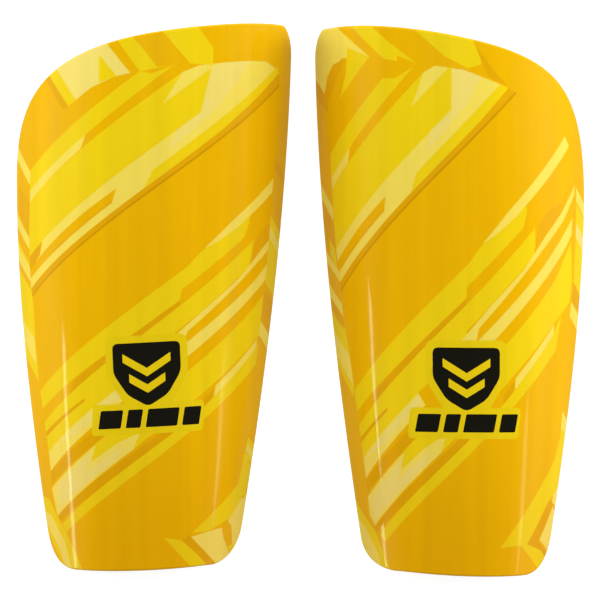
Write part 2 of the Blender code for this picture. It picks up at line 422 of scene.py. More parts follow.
LIGHT_LEVEL = 1.10
COLOURS = {
    "O": linear(224, 169, 5) / LIGHT_LEVEL,      # the orange ground
    "D": linear(215, 158, 8) / LIGHT_LEVEL,      # deep ochre lines
    "B": linear(219, 161, 13) / LIGHT_LEVEL,     # brown shade
    "S": linear(194, 136, 8) / LIGHT_LEVEL,      # fine brown line
    "Y": linear(227, 195, 19) / LIGHT_LEVEL,     # yellow
    "P": linear(230, 205, 82) / LIGHT_LEVEL,     # pale
    "W": linear(227, 204, 104) / LIGHT_LEVEL,    # palest
    "H": linear(221, 192, 18) / LIGHT_LEVEL,     # patch behind the emblem
    "K": linear(21, 20, 14),                     # black
    "R": linear(229, 180, 12) / LIGHT_LEVEL,     # the film where it rolls over the rim, one colour a little lighter and yellower than the orange ground: a painted highlight along the rim
}
# Bands that run the length of the pattern: along the band, then across it.
BANDS = [
    ("D", [(-44, 30.8), (-38, 33.8), (0, 33.2), (60, 33), (96, 34.4), (95, 29.8), (60, 30.3), (20, 30.7)]),
    ("S", [(-44, 30.8), (20, 30.7), (60, 30.3), (95, 29.8), (95.2, 30.5), (60, 30.95), (20, 31.35), (-43.2, 31.3)]),
    ("P", [(-43, 33.8), (-40, 38.5), (-25, 40.2), (-21, 43.5), (56.5, 43.3), (69, 54.3), (47, 54.3), (59.3, 59.6), (66, 57.8), (74.3, 52.9), (84, 46.7), (90, 42.2), (92.5, 38), (94, 34.3), (60, 33), (0, 33.2)]),
    ("W", [(46, 43.4), (56.5, 43.3), (69, 54.3), (74.3, 52.9), (84, 46.7), (62, 40.5), (38, 39)]),
    ("Y", [(24, 33.2), (30.5, 36.6), (96, 36.9), (96, 34.3), (60, 33)]),
    ("O", [(-40, 37), (-38, 39.7), (0, 39.9), (15.7, 39.3), (11.4, 36), (-20, 36.4)]),
    ("B", [(-20, 36.4), (11.4, 36), (12.4, 36.8), (-18, 37.2)]),
    ("D", [(-38, 43.9), (-20.7, 43.9), (-25, 40.2), (-36, 38.9)]),
    ("Y", [(-40, 43.9), (-30, 59.8), (59.3, 59.6), (47, 54.3), (69, 54.3), (56.5, 43.3), (-21, 43.5)]),
    ("P", [(-28, 59.8), (-24, 63.3), (17.5, 62.9), (13, 59.9)]),
    ("O", [(17.5, 62.9), (13, 59.9), (65, 60.3), (58, 63.6)]),
    ("Y", [(-24, 63.3), (-16, 69.3), (47, 69.3), (50, 66), (58, 63.6), (17.5, 62.9)]),
    ("Y", [(-66, 0.6), (8, 0.3), (20, 0.2), (27, 1.3), (50, 2.2), (35, 0.4), (46, -0.6), (51.8, -0.6), (50, -2.6), (45, -5.4), (13.5, -5.3), (10.5, -8), (-20, -7.4), (-66, -5.2)]),
    ("P", [(29, 1.6), (45, 2.9), (62, 3), (84.3, 3.3), (83.4, -0.9), (66.2, -0.8), (51.8, -0.6), (46, -0.6), (35, 0.4)]),
    ("D", [(-40, -7.2), (-20, -7.4), (10.5, -8), (9, -9.7), (-32, -9.9), (-44, -10)]),
    ("Y", [(-68, -10), (-40, -10), (10, -9.7), (48.5, -9), (42, -15.6), (2, -16.5), (-2, -20), (-72, -20)]),
    ("D", [(-70, -14.2), (-62, -13.4), (-40, -15), (-40, -16), (-60, -15.2)]),
    ("B", [(41, -15.6), (50, -9.4), (57, -9), (64.5, -11.6), (75.2, -10.8), (62.5, -14.5), (50, -14.6)]),
    ("P", [(-5, -17.8), (15, -16.4), (34.2, -16.2), (50, -14.6), (62.5, -14.5), (76.1, -13.4), (72.7, -15.6), (60.8, -17.3), (44.7, -17.2), (28.6, -17.9), (6, -19), (2, -21.5), (-5, -20.4)]),
    ("P", [(-76, -20), (-27, -20), (-28, -25), (-76, -26.3)]),
    ("W", [(-60, -21), (-27, -20.6), (-28, -23.2), (-50, -23.6)]),
    ("P", [(2, -22), (40, -21.8), (50, -21.3), (65.9, -20.7), (60.8, -24.7), (52, -25.4), (-4, -26.5)]),
    ("D", [(-76, -26.5), (-29, -27.3), (-32, -30), (-40, -31.2), (-74, -30.3)]),
    ("O", [(-8, -28), (50, -26.2), (42, -29.8), (-11, -30.5)]),
    ("P", [(-76, -31.5), (-43, -31.5), (-52, -35.5), (-40, -36), (-30, -38), (-36, -41.5), (-84, -41.5)]),
    ("W", [(-70, -33), (-47, -33), (-56, -37), (-38, -38.6), (-44, -40.6), (-74, -40)]),
    ("Y", [(-52, -35.5), (-46, -31.2), (-10, -31), (30, -30), (42, -29.4), (50, -27.8), (58.8, -26.1), (54, -32), (48.1, -38), (42.7, -41.6), (32, -40.5), (-15, -41), (-36, -41.5), (-30, -38), (-40, -36)]),
    ("D", [(-84, -43.6), (-76, -41.7), (-20, -42.8), (-14, -42.5), (-20, -45.5), (-60, -45.2)]),
    ("D", [(-5, -43), (3, -42.2), (-1, -45), (-7, -45.3)]),
    ("P", [(3, -42), (30, -40.8), (27, -43.3), (0, -44.8)]),
    ("Y", [(-86, -45.5), (-60, -45.4), (-20, -45.6), (-7, -45.3), (25, -43.5), (36, -41), (24, -48.4), (-30, -49.3), (-82, -49.2)]),
]
# For each guard: the bands' slant and shift, the line where the print turns
# over to the sides, patches at the ends (along and across the band), and the
# bands beyond the line (across and along the guard).
PRINT = {
    "left": {
        "angle": 37.4, "shift": (0, 0), "emblem": ((1.5, -27), 3),
        "fold": [(-51.3, 62), (-51.3, 20), (-50, 4), (-48.5, -2), (-47.5, -18), (-45.5, -31), (-43.5, -42), (-41.5, -52), (-40, -62), (-39.5, -70), (-37, -79), (-30, -88), (20, -92), (38, -86), (41, -70), (46, -50), (47.5, -30), (49.5, -15), (51, 0), (52.5, 12), (53.3, 30), (54, 45), (54.5, 60), (55, 78), (54, 84), (50, 92), (35, 110), (0, 110), (-30, 105), (-51.3, 75)],
        "patches": [
            ("Y", [(46.5, 92), (51.6, 88), (53, 66.5), (58, 63.6), (47, 69.3)]),
            ("O", [(52.5, 85), (61.3, 80), (63.2, 61), (53.2, 66.5)]),
            ("Y", [(61.2, 82), (73, 74), (73.5, 60), (70, 54.9), (63.3, 60.5)]),
            ("D", [(14, 94), (16.3, 94), (17.6, 76.2), (15, 76.5)]),
            ("Y", [(16.3, 94), (20.5, 94), (21.5, 76), (17.6, 76.2)]),
            ("W", [(20.5, 94), (42.5, 90), (44.2, 70.8), (38, 73.6), (29, 75.8), (21.5, 76)]),
            ("Y", [(38.2, 84), (32.5, 75.3), (39.2, 73.2)]),
            ("O", [(42.3, 92), (46.5, 90), (47, 69.3), (43.9, 70.6)]),
            ("Y", [(-37, -79.6), (-9, -79), (0, -72), (2, -84), (-11, -85), (-20, -86.5), (-32, -83.2)]),
            ("P", [(-38.5, -80.5), (-32, -83.3), (-25.5, -86.6), (-27, -90), (-27.5, -95), (-28, -101), (-36, -101), (-37, -90)]),
            ("D", [(-42, -79.4), (-38.5, -79.4), (-37.5, -86), (-35.5, -96), (-38, -98), (-40.5, -86)]),
            ("Y", [(-46.7, -74.3), (-42, -79.4), (-40.5, -86), (-38.5, -98), (-44, -96), (-46, -82)]),
            ("O", [(-25.5, -86.6), (-21.5, -87), (-21, -89.5), (-24, -95.5), (-26.5, -94), (-27, -90)]),
            ("Y", [(-27, -94.6), (-24, -95.5), (-23, -101), (-27, -101)]),
            ("P", [(-21.5, -86.8), (-11, -85), (-4, -88), (-16, -99), (-23, -100), (-24, -95.5), (-21, -89.5)]),
        ],
        "edge": [
            ("P", [(-51.3, 47.5), (-66, 61), (-66, 56), (-51.3, 42.6)]),
            ("B", [(-51.3, 36), (-60, 43), (-60, 33), (-51.3, 23.5)]),
            ("P", [(-51.3, 23), (-66, 36.5), (-66, 32), (-51.3, 18.8)]),
            ("Y", [(-51.3, 14), (-66, 27), (-66, 25), (-50.5, 11.5)]),
            ("P", [(-50.8, 11.8), (-66, 26), (-66, 20), (-50.3, 6.6)]),
            ("Y", [(-49.6, 3.4), (-66, 17), (-66, -10), (-57, -20), (-46, -30), (-47.3, -18), (-48.3, -4)]),
            ("P", [(-48.2, -14), (-66, -1), (-66, -7), (-58, -14), (-47.4, -24)]),
            ("Y", [(-52, -72), (-42, -74), (-36.5, -80.5), (-31, -87), (-22, -102), (-52, -102)]),
            ("P", [(-50, -78), (-41, -80), (-33, -89), (-28, -102), (-31, -102), (-37, -91), (-44, -84), (-50, -82)]),
            ("O", [(-50, -83), (-43, -88), (-35, -97), (-37, -102), (-50, -102)]),
            ("B", [(54.3, 53), (66, 43), (66, 38.5), (54.2, 49)]),
            ("Y", [(53.3, 31.5), (66, 20), (66, 0), (60, 0), (52.2, 6.5), (52.5, 16)]),
            ("P", [(53.4, 27.5), (66, 16.5), (66, 12.5), (53.2, 23.2)]),
            ("B", [(51.6, 4), (60, -3), (60, -15), (50, -7.6)]),
            ("P", [(50.2, -7.8), (62, -17), (62, -23), (49.7, -13.2)]),
            ("B", [(49.7, -13.2), (62, -23), (62, -24.3), (49.5, -14.2)]),
            ("Y", [(42.5, -49), (54, -56), (54, -65), (49, -60.5), (41.2, -58)]),
            ("P", [(42.2, -51.5), (54, -59.5), (54, -62.5), (42, -54)]),
            ("Y", [(39.5, -66), (52, -76), (52, -82), (46, -80), (41, -75), (38.5, -70)]),
            ("B", [(39.6, -69), (50, -77.2), (50, -78.4), (39.4, -70)]),
        ],
    },
    "right": {
        "angle": 45, "shift": (-6.5, 7.7), "emblem": ((3, -27), 0),
        "fold": [(-53.5, 60), (-53, 40), (-52, 20), (-50.3, 9), (-49, -3), (-46, -18), (-43.8, -31), (-42, -42), (-40.5, -52), (-38.5, -65), (-37, -78), (-33, -84), (-26, -90), (30, -90), (46, -57), (47, -42), (49, -20), (50, -3), (52, 8), (53.5, 25), (54, 44), (50, 60), (47.5, 64.5), (22, 79.5), (2, 87), (-20, 93.5), (-39, 100), (-50, 93), (-52, 80), (-53, 72)],
        "patches": [
            ("P", [(16, 106), (16, 93), (22, 96), (33, 95.5), (42.3, 86), (46, 106)]),
            ("Y", [(21, 86.3), (30, 90), (38, 96), (42.5, 86.3)]),
            ("B", [(11, 90), (20, 91.5), (34, 94), (28, 97.5), (22, 97), (15, 94)]),
            ("O", [(42.5, 86.3), (40, 106), (48, 106), (46.5, 82)]),
            ("Y", [(45, 106), (51, 104), (52, 84), (53.6, 71.5), (50.5, 78.5), (49, 77.2), (46, 81.5)]),
            ("O", [(51.6, 92), (62, 84), (63, 66), (65.5, 55.5), (60, 63), (53.6, 71.5)]),
            ("Y", [(62, 86), (80, 72), (74, 61), (71, 54), (65.5, 57), (62.8, 66)]),
            ("D", [(74.2, 61), (72.2, 50), (71.8, 41.3), (68.8, 49), (70.5, 54)]),
            ("Y", [(-52, -74.5), (-10, -70.8), (2, -66), (2, -84), (-24, -79.5), (-36, -81.5), (-40, -84), (-44, -81)]),
            ("Y", [(-45, -80), (-39, -83), (-37, -90), (-35, -100), (-44, -100), (-44.5, -90)]),
            ("D", [(-42.5, -82.3), (-22, -80), (-21, -84), (-34, -85.8), (-37.5, -86.5), (-34, -100), (-37, -100), (-38.5, -90)]),
            ("P", [(-36.5, -86.3), (-21.5, -83.8), (-23, -90), (-30, -100), (-33.5, -100)]),
        ],
        "edge": [
            ("P", [(-53.5, 77.5), (-66, 87), (-66, 106), (-37, 106), (-40, 100), (-50.5, 87)]),
            ("D", [(-53.5, 77.2), (-66, 86.5), (-66, 81), (-53.5, 71)]),
            ("P", [(-53.2, 36), (-66, 50), (-66, 45), (-53.1, 31)]),
            ("B", [(-53.1, 30), (-62, 39), (-62, 26), (-54, 20), (-52.3, 19)]),
            ("Y", [(-57, 25), (-52.8, 20.5), (-51.8, 13), (-56, 18)]),
            ("P", [(-51, 12.4), (-66, 25.5), (-66, 21.5), (-50.4, 8.6)]),
            ("P", [(-49.6, 0), (-66, 14.5), (-66, 9.5), (-48.9, -4.5)]),
            ("B", [(-48.9, -5), (-62, 6.5), (-62, 2.5), (-48.6, -8.8)]),
            ("Y", [(-50.5, -8.2), (-66, 5), (-66, -8), (-57, -19), (-44.5, -34.5), (-43.8, -31), (-46, -18), (-48.2, -9)]),
            ("P", [(-46, -19), (-60, -6), (-60, -12), (-56, -18), (-44.2, -30)]),
            ("Y", [(-52, -68), (-41, -78), (-34, -84.5), (-24, -103), (-52, -103)]),
            ("P", [(-50, -76), (-40, -83), (-33, -92), (-30, -103), (-34, -103), (-42, -89), (-50, -81)]),
            ("P", [(54, 44), (66, 34), (66, 28), (54, 39)]),
            ("Y", [(54, 38), (66, 27), (66, 4), (59, 3), (52.3, 9), (53.5, 25)]),
            ("W", [(53.8, 31), (66, 20), (66, 15), (53.4, 26)]),
            ("D", [(52.2, 9), (59, 3), (62, -4), (50.6, 1)]),
            ("P", [(50.4, 2), (64, -9), (64, -15), (49.7, -3.6)]),
            ("P", [(47.1, -39), (60, -50), (60, -55), (46.6, -46)]),
            ("Y", [(46.4, -46), (60, -55), (60, -58), (46, -51)]),
            ("P", [(44.5, -60), (58, -66), (58, -80), (43, -74)]),
            ("O", [(43, -73), (56, -80), (56, -84), (42, -78)]),
            ("P", [(41.5, -78), (54, -85), (50, -96), (37, -86)]),
        ],
    },
}


def band_frame(points, angle, shift=(0.0, 0.0)):
    """From along-band and across-band distances to across and along the guard."""
    a = math.radians(angle)
    p = np.asarray(points, float) + np.asarray(shift)
    return np.stack([p[:, 0] * math.cos(a) - p[:, 1] * math.sin(a),
                     p[:, 0] * math.sin(a) + p[:, 1] * math.cos(a)], axis=1)


def rounded(points, radius, steps=4):
    """A polygon with its corners rounded."""
    pts = np.asarray(points, float)
    out = []
    for k, p in enumerate(pts):
        before, after = pts[k - 1] - p, pts[(k + 1) % len(pts)] - p
        r = min(radius, 0.45 * np.linalg.norm(before), 0.45 * np.linalg.norm(after))
        a, b = p + before / np.linalg.norm(before) * r, p + after / np.linalg.norm(after) * r
        for t in np.linspace(0.0, 1.0, steps):
            out.append((1 - t) ** 2 * a + 2 * t * (1 - t) * p + t * t * b)
    return np.array(out)


def emblem(centre, tilt):
    """A plain shield with two chevrons over a strip of slanted bars, on a yellow patch."""
    def at(points):
        a = math.radians(tilt)
        p = np.asarray(points, float)
        return np.stack([p[:, 0] * math.cos(a) - p[:, 1] * math.sin(a) + centre[0],
                         p[:, 0] * math.sin(a) + p[:, 1] * math.cos(a) + centre[1]], axis=1)
    shield = [(-12.5, 11.5), (12.5, 11.5), (12.5, 0.5), (7.5, -7.5), (0.0, -12.0), (-7.5, -7.5), (-12.5, 0.5)]
    patch = [(-15.2, 14.2), (15.2, 14.2), (15.2, -0.2), (9.6, -9.3), (8.2, -11.6), (-8.2, -11.6), (-9.6, -9.3), (-15.2, -0.2)]
    strip = [(-21.0, -10.6), (21.2, -10.6), (20.2, -22.0), (-22.0, -22.0)]
    made = [("H", rounded(patch, 3.0)), ("H", rounded(strip, 1.6)), ("K", rounded(shield, 2.0))]
    for top, half in ((7.6, 8.8), (0.2, 6.6)):
        drop, thick = 0.62 * half, 3.1
        made.append(("H", [(-half, top), (0.0, top - drop), (half, top),
                           (half, top - thick), (0.0, top - drop - thick), (-half, top - thick)]))
    x = -19.2
    for long in (8.6, 5.4, 11.6, 6.6):
        made.append(("K", rounded([(x + 1.3, -12.9), (x + long + 1.3, -12.9), (x + long, -19.6), (x, -19.6)], 0.5, 3)))
        x += long + 1.9
    return [(key, at(points)) for key, points in made]


def artwork(guard):
    """The regions of the print, in painting order, on the guard's own unrolled frame."""
    art = PRINT[guard.side]
    flip = np.array([-1.0, 1.0]) if guard.mirrored else np.array([1.0, 1.0])
    fold = np.asarray(art["fold"], float) * flip
    regions = []
    for key, points in BANDS:
        regions.append((key, band_frame(points, art["angle"], art["shift"]) * flip, "within"))
    for key, points in art["edge"]:
        regions.append((key, np.asarray(points, float) * flip, "beyond"))
    for key, points in art["patches"]:
        regions.append((key, band_frame(points, art["angle"]) * flip, "over"))
    for key, points in emblem(*art["emblem"]):
        regions.append((key, np.asarray(points, float) * flip, "over"))
    return fold, regions


def paint(guard, obj, q, kinds):
    """Writes each face corner's colour."""
    mesh = obj.data
    fold, regions = artwork(guard)
    loops = np.zeros(len(mesh.loops), np.int32)
    mesh.loops.foreach_get("vertex_index", loops)
    start = np.zeros(len(mesh.polygons), np.int32)
    total = np.zeros(len(mesh.polygons), np.int32)
    mesh.polygons.foreach_get("loop_start", start)
    mesh.polygons.foreach_get("loop_total", total)
    middle = np.array([q[loops[a:a + n]].mean(0) for a, n in zip(start, total)])
    colour = np.tile(COLOURS["O"], (len(middle), 1))
    within = inside(fold, middle)
    for key, points, where in regions:
        hit = inside(points, middle)
        if where == "within":
            hit &= within
        elif where == "beyond":
            hit &= ~within
        colour[hit] = COLOURS[key]
    top = np.array([k == "top" for k in kinds])
    # the rim and underside of the film take the one lighter rim colour, a painted highlight along the rim
    colour[~top] = COLOURS["R"]
    per_loop = np.repeat(colour, total, axis=0)
    # painted shade towards the lower end and painted light towards the upper end: the colours darken and turn more
    # orange a little towards the lower end and lighten slightly towards the upper end
    y = q[loops, 1]
    low, high = np.clip((-40.0 - y) / 50.0, 0.0, 1.0), np.clip((y - 30.0) / 60.0, 0.0, 1.0)
    per_loop[:, 0] *= 1.0 - 0.07 * low
    per_loop[:, 1] *= 1.0 - 0.13 * low + 0.03 * high
    attribute = mesh.color_attributes.new("print", "FLOAT_COLOR", "CORNER")
    attribute.data.foreach_set("color", np.hstack([per_loop, np.ones((len(per_loop), 1))]).astype(np.float32).ravel())


# ----------------------------------------------------------------------------
# Materials
# ----------------------------------------------------------------------------
class Nodes:
    """A small helper for building node trees."""

    def __init__(self, name):
        self.mat = bpy.data.materials.new(name)
        self.mat.use_nodes = True
        self.tree = self.mat.node_tree
        self.bsdf = self.tree.nodes["Principled BSDF"]

    def add(self, kind, **settings):
        node = self.tree.nodes.new(kind)
        inputs = settings.pop("inputs", {})
        for k, v in settings.items():
            setattr(node, k, v)
        for k, v in inputs.items():
            if isinstance(v, bpy.types.NodeSocket):
                self.tree.links.new(v, node.inputs[k])
            else:
                node.inputs[k].default_value = v
        return node

    def link(self, a, b):
        self.tree.links.new(a, b)

    def ramp(self, value, stops):
        node = self.add("ShaderNodeValToRGB")
        self.link(value, node.inputs["Fac"])
        r = node.color_ramp
        while len(r.elements) < len(stops):
            r.elements.new(0.5)
        for el, (pos, col) in zip(r.elements, stops):
            el.position = pos
            el.color = (*col, 1.0) if len(col) == 3 else col
        return node.outputs["Color"]

    def mix(self, a, b, fac, mode="MIX"):
        node = self.add("ShaderNodeMix", data_type="RGBA", blend_type=mode)
        for key, v in (("Factor", fac), ("A", a), ("B", b)):
            sock = next(s for s in node.inputs if s.name == key and s.enabled)
            if isinstance(v, bpy.types.NodeSocket):
                self.link(v, sock)
            elif key == "Factor":
                sock.default_value = v
            else:
                sock.default_value = (*v, 1.0)
        return next(s for s in node.outputs if s.enabled)

    def math(self, op, a, b=0.0, clamp=False):
        node = self.add("ShaderNodeMath", operation=op, use_clamp=clamp)
        for k, v in enumerate((a, b)):
            if isinstance(v, bpy.types.NodeSocket):
                self.link(v, node.inputs[k])
            else:
                node.inputs[k].default_value = v
        return node.outputs[0]

    def span(self, value, a, b, c, d):
        node = self.add("ShaderNodeMapRange", inputs={"From Min": a, "From Max": b, "To Min": c, "To Max": d})
        self.link(value, node.inputs["Value"])
        return node.outputs["Result"]

    def bump(self, height, strength, distance, normal=None):
        node = self.add("ShaderNodeBump", inputs={"Strength": strength, "Distance": distance})
        self.link(height, node.inputs["Height"])
        if normal is not None:
            self.link(normal, node.inputs["Normal"])
        return node.outputs["Normal"]


def film_material():
    n = Nodes("printed_gloss_film")
    place = n.add("ShaderNodeTexCoord").outputs["Object"]
    ink = n.add("ShaderNodeAttribute", attribute_name="print", attribute_type="GEOMETRY").outputs["Color"]
    # the colour varies a little, in long soft streaks along the guard
    streak = n.add("ShaderNodeMapping", inputs={"Vector": place, "Scale": (190.0, 6.0, 50.0)})
    uneven = n.add("ShaderNodeTexNoise", inputs={"Vector": streak.outputs["Vector"], "Scale": 1.0, "Detail": 3.0})
    tone = n.span(uneven.outputs["Fac"], 0.3, 0.7, 0.955, 1.035)
    grain = n.add("ShaderNodeTexNoise", inputs={"Vector": place, "Scale": 2600.0, "Detail": 2.0})
    fine = n.span(grain.outputs["Fac"], 0.3, 0.7, 0.985, 1.015)
    both = n.math("MULTIPLY", tone, fine)
    grey = n.add("ShaderNodeCombineColor", inputs={"Red": both, "Green": both, "Blue": both})
    n.link(n.mix(ink, grey.outputs["Color"], 1.0, "MULTIPLY"), n.bsdf.inputs["Base Color"])
    # handling marks vary the gloss a little, and the moulding leaves a faint orange peel
    marks = n.add("ShaderNodeTexNoise", inputs={"Vector": place, "Scale": 55.0, "Detail": 5.0})
    n.link(n.span(marks.outputs["Fac"], 0.35, 0.75, 0.055, 0.105), n.bsdf.inputs["Roughness"])
    peel = n.add("ShaderNodeTexNoise", inputs={"Vector": place, "Scale": 240.0, "Detail": 1.0})
    n.link(n.bump(peel.outputs["Fac"], 0.05, 0.0002), n.bsdf.inputs["Normal"])
    n.bsdf.inputs["IOR"].default_value = 1.33
    return n.mat


def shell_material():
    n = Nodes("moulded_shell")
    place = n.add("ShaderNodeTexCoord").outputs["Object"]
    flow = n.add("ShaderNodeTexNoise", inputs={"Vector": place, "Scale": 40.0, "Detail": 4.0})
    n.link(n.ramp(flow.outputs["Fac"], [(0.3, (0.44, 0.24, 0.012)), (0.7, (0.54, 0.31, 0.02))]), n.bsdf.inputs["Base Color"])
    grain = n.add("ShaderNodeTexNoise", inputs={"Vector": place, "Scale": 1500.0, "Detail": 2.0})
    n.link(n.span(grain.outputs["Fac"], 0.3, 0.7, 0.22, 0.34), n.bsdf.inputs["Roughness"])
    n.link(n.bump(grain.outputs["Fac"], 0.15, 0.0001), n.bsdf.inputs["Normal"])
    return n.mat


def adhesive_material():
    n = Nodes("adhesive_film")
    place = n.add("ShaderNodeTexCoord").outputs["Object"]
    patch = n.add("ShaderNodeTexNoise", inputs={"Vector": place, "Scale": 90.0, "Detail": 4.0})
    n.link(n.ramp(patch.outputs["Fac"], [(0.3, (0.55, 0.52, 0.42)), (0.7, (0.68, 0.65, 0.55))]), n.bsdf.inputs["Base Color"])
    n.link(n.span(patch.outputs["Fac"], 0.3, 0.7, 0.45, 0.65), n.bsdf.inputs["Roughness"])
    return n.mat


def foam_material():
    n = Nodes("closed_cell_foam")
    place = n.add("ShaderNodeTexCoord").outputs["Object"]
    cells = n.add("ShaderNodeTexVoronoi", inputs={"Vector": place, "Scale": 1900.0})
    shade = n.add("ShaderNodeTexNoise", inputs={"Vector": place, "Scale": 120.0, "Detail": 4.0})
    base = n.ramp(shade.outputs["Fac"], [(0.3, (0.030, 0.030, 0.033)), (0.7, (0.052, 0.052, 0.056))])
    # painted shade in the pits: the colour darkens towards each foam cell's centre
    pit_shade = n.ramp(cells.outputs["Distance"], [(0.0, (0.55, 0.55, 0.55)), (0.35, (1.0, 1.0, 1.0))])
    n.link(n.mix(base, pit_shade, 1.0, "MULTIPLY"), n.bsdf.inputs["Base Color"])
    n.link(n.span(cells.outputs["Distance"], 0.0, 0.5, 0.85, 0.7), n.bsdf.inputs["Roughness"])
    n.link(n.bump(cells.outputs["Distance"], 0.5, 0.0002), n.bsdf.inputs["Normal"])
    return n.mat


def lining_material():
    n = Nodes("knit_lining")
    flat = n.add("ShaderNodeUVMap", uv_map="unrolled").outputs["UV"]
    split = n.add("ShaderNodeSeparateXYZ", inputs={"Vector": flat})
    wale, course = 0.0011, 0.0009
    # each wale is a column of V-shaped loops
    across = n.math("DIVIDE", split.outputs["X"], wale)
    column = n.math("ABSOLUTE", n.math("SUBTRACT", n.math("FRACT", across), 0.5))
    slant = n.math("ADD", n.math("DIVIDE", split.outputs["Y"], course), n.math("MULTIPLY", column, 1.1))
    loop = n.math("ABSOLUTE", n.math("SUBTRACT", n.math("FRACT", slant), 0.5))
    rib = n.math("SINE", n.math("MULTIPLY", column, math.pi))
    height = n.math("ADD", n.math("MULTIPLY", loop, 1.2), n.math("MULTIPLY", rib, 0.8))
    place = n.add("ShaderNodeTexCoord").outputs["Object"]
    fuzz = n.add("ShaderNodeTexNoise", inputs={"Vector": place, "Scale": 3500.0, "Detail": 3.0})
    wear = n.add("ShaderNodeTexNoise", inputs={"Vector": place, "Scale": 45.0, "Detail": 3.0})
    # painted shade in the hollows: the knit is coloured darker where its height is low, between the loops and ribs
    yarn_and_hollow_shade = n.ramp(height, [(0.25, (0.020, 0.020, 0.023)), (1.1, (0.085, 0.085, 0.092))])
    tone = n.ramp(wear.outputs["Fac"], [(0.3, (0.85, 0.85, 0.86)), (0.7, (1.1, 1.1, 1.1))])
    n.link(n.mix(yarn_and_hollow_shade, tone, 1.0, "MULTIPLY"), n.bsdf.inputs["Base Color"])
    n.bsdf.inputs["Roughness"].default_value = 0.9
    n.bsdf.inputs["Sheen Weight"].default_value = 0.35
    n.bsdf.inputs["Sheen Roughness"].default_value = 0.4
    first = n.bump(height, 0.6, 0.00025)
    n.link(n.bump(fuzz.outputs["Fac"], 0.25, 0.0001, first), n.bsdf.inputs["Normal"])
    return n.mat


# ----------------------------------------------------------------------------
# The pieces of one guard
# ----------------------------------------------------------------------------
ROLL = 0.95             # the film's bend over the shell's rim


def build(guard, mats):
    def name(piece):
        return guard.side + "_" + piece

    # printed film, rolled over the rim
    fold, regions = artwork(guard)
    loops = [dense(points, 2.2) for points in [fold] + [points for _, points, _ in regions]]
    loops += [guard.ring(d) for d in (0.58, 0.74, 0.95)]

    def over_rim(q, d):
        return 0.2 - ROLL + np.sqrt(np.maximum(ROLL ** 2 - np.maximum(ROLL - d, 0.0) ** 2, 0.0))

    def lean(d):
        return np.arcsin(np.clip((ROLL - d) / ROLL, 0.0, 1.0))

    rim = []
    for turn in (45, 60, 75, 90):
        b = math.radians(turn)
        rim.append((ROLL - ROLL * math.sin(b), 0.2 - ROLL + ROLL * math.cos(b), b))
    rim += [(0.0, -1.0, math.pi / 2), (0.05, -1.06, math.radians(135)), (0.16, -1.06, math.pi)]
    rim += [(0.18, -0.95, math.radians(270)), (0.18, -0.75, math.radians(270)), (0.40, -0.22, math.radians(225))]
    film, q, normal, kinds = layer(guard, name("printed_film"), (0.42, 2.4, over_rim), rim,
                                   (0.95, 5.0, lambda q, d: np.full(len(q), 0.02)), loops, lean)
    paint(guard, film, q, kinds)
    film.data.normals_split_custom_set_from_vertices([tuple(v) for v in normal])
    film.data.materials.append(mats["film"])
    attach(film, guard.body)
    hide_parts(name("graphic_film"))

    # shell, with both edges of its rim rounded
    r = 0.72
    rim = [(0.2 + r - r * math.sin(math.radians(t)), -r + r * math.cos(math.radians(t)), math.radians(t)) for t in (20, 40, 60, 80, 90)]
    rim += [(0.2 + r - r * math.sin(math.radians(t)), -1.8 + r + r * math.cos(math.radians(t)), math.radians(t)) for t in (90, 110, 130, 150, 170)]
    shell, q, normal, kinds = layer(guard, name("moulded_shell"), (0.2 + r, 4.0, lambda q, d: np.zeros(len(q))), rim,
                                    (0.2 + r, 4.0, lambda q, d: np.full(len(q), -1.8)))
    shell.data.normals_split_custom_set_from_vertices([tuple(v) for v in normal])
    shell.data.materials.append(mats["shell"])
    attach(shell, guard.body)
    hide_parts(name("shell"))

    # adhesive sheet
    rim = [(5.0, -1.90, math.pi / 2)]
    sheet, q, normal, kinds = layer(guard, name("bonding_sheet"), (5.05, 4.0, lambda q, d: np.full(len(q), -1.84)), rim,
                                    (5.05, 4.0, lambda q, d: np.full(len(q), -1.97)))
    sheet.data.materials.append(mats["adhesive"])
    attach(sheet, guard.body)
    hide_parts(name("adhesive_sheet"))

    # foam pad, its lower edge pressed round
    rim = [(2.9, -2.15, math.radians(45)), (2.7, -2.45, math.radians(90)), (2.6, -4.0, math.radians(90)),
           (2.75, -5.2, math.radians(100)), (3.2, -6.1, math.radians(130)), (3.9, -6.6, math.radians(160))]
    foam, q, normal, kinds = layer(guard, name("foam_padding"), (3.2, 4.0, lambda q, d: np.full(len(q), -2.0)), rim,
                                   (4.8, 3.0, lambda q, d: np.full(len(q), -6.75)))
    foam.data.materials.append(mats["foam"])
    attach(foam, guard.body)
    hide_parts(name("foam_pad"))

    # knit lining, pressed into the foam round its border
    def face(q, d):
        press = 0.40 * np.exp(-((d - 8.0) / 1.1) ** 2)
        return -7.35 + press

    rim = [(3.0, -7.15, math.pi / 2)]
    lining, q, normal, kinds = layer(guard, name("knit_lining"), (3.05, 3.0, lambda q, d: face(q, d) + 0.55), rim,
                                     (3.05, 2.2, face))
    lining.data.materials.append(mats["lining"])
    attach(lining, guard.body)
    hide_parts(name("lining"))
    ring = guard.ring(3.05)


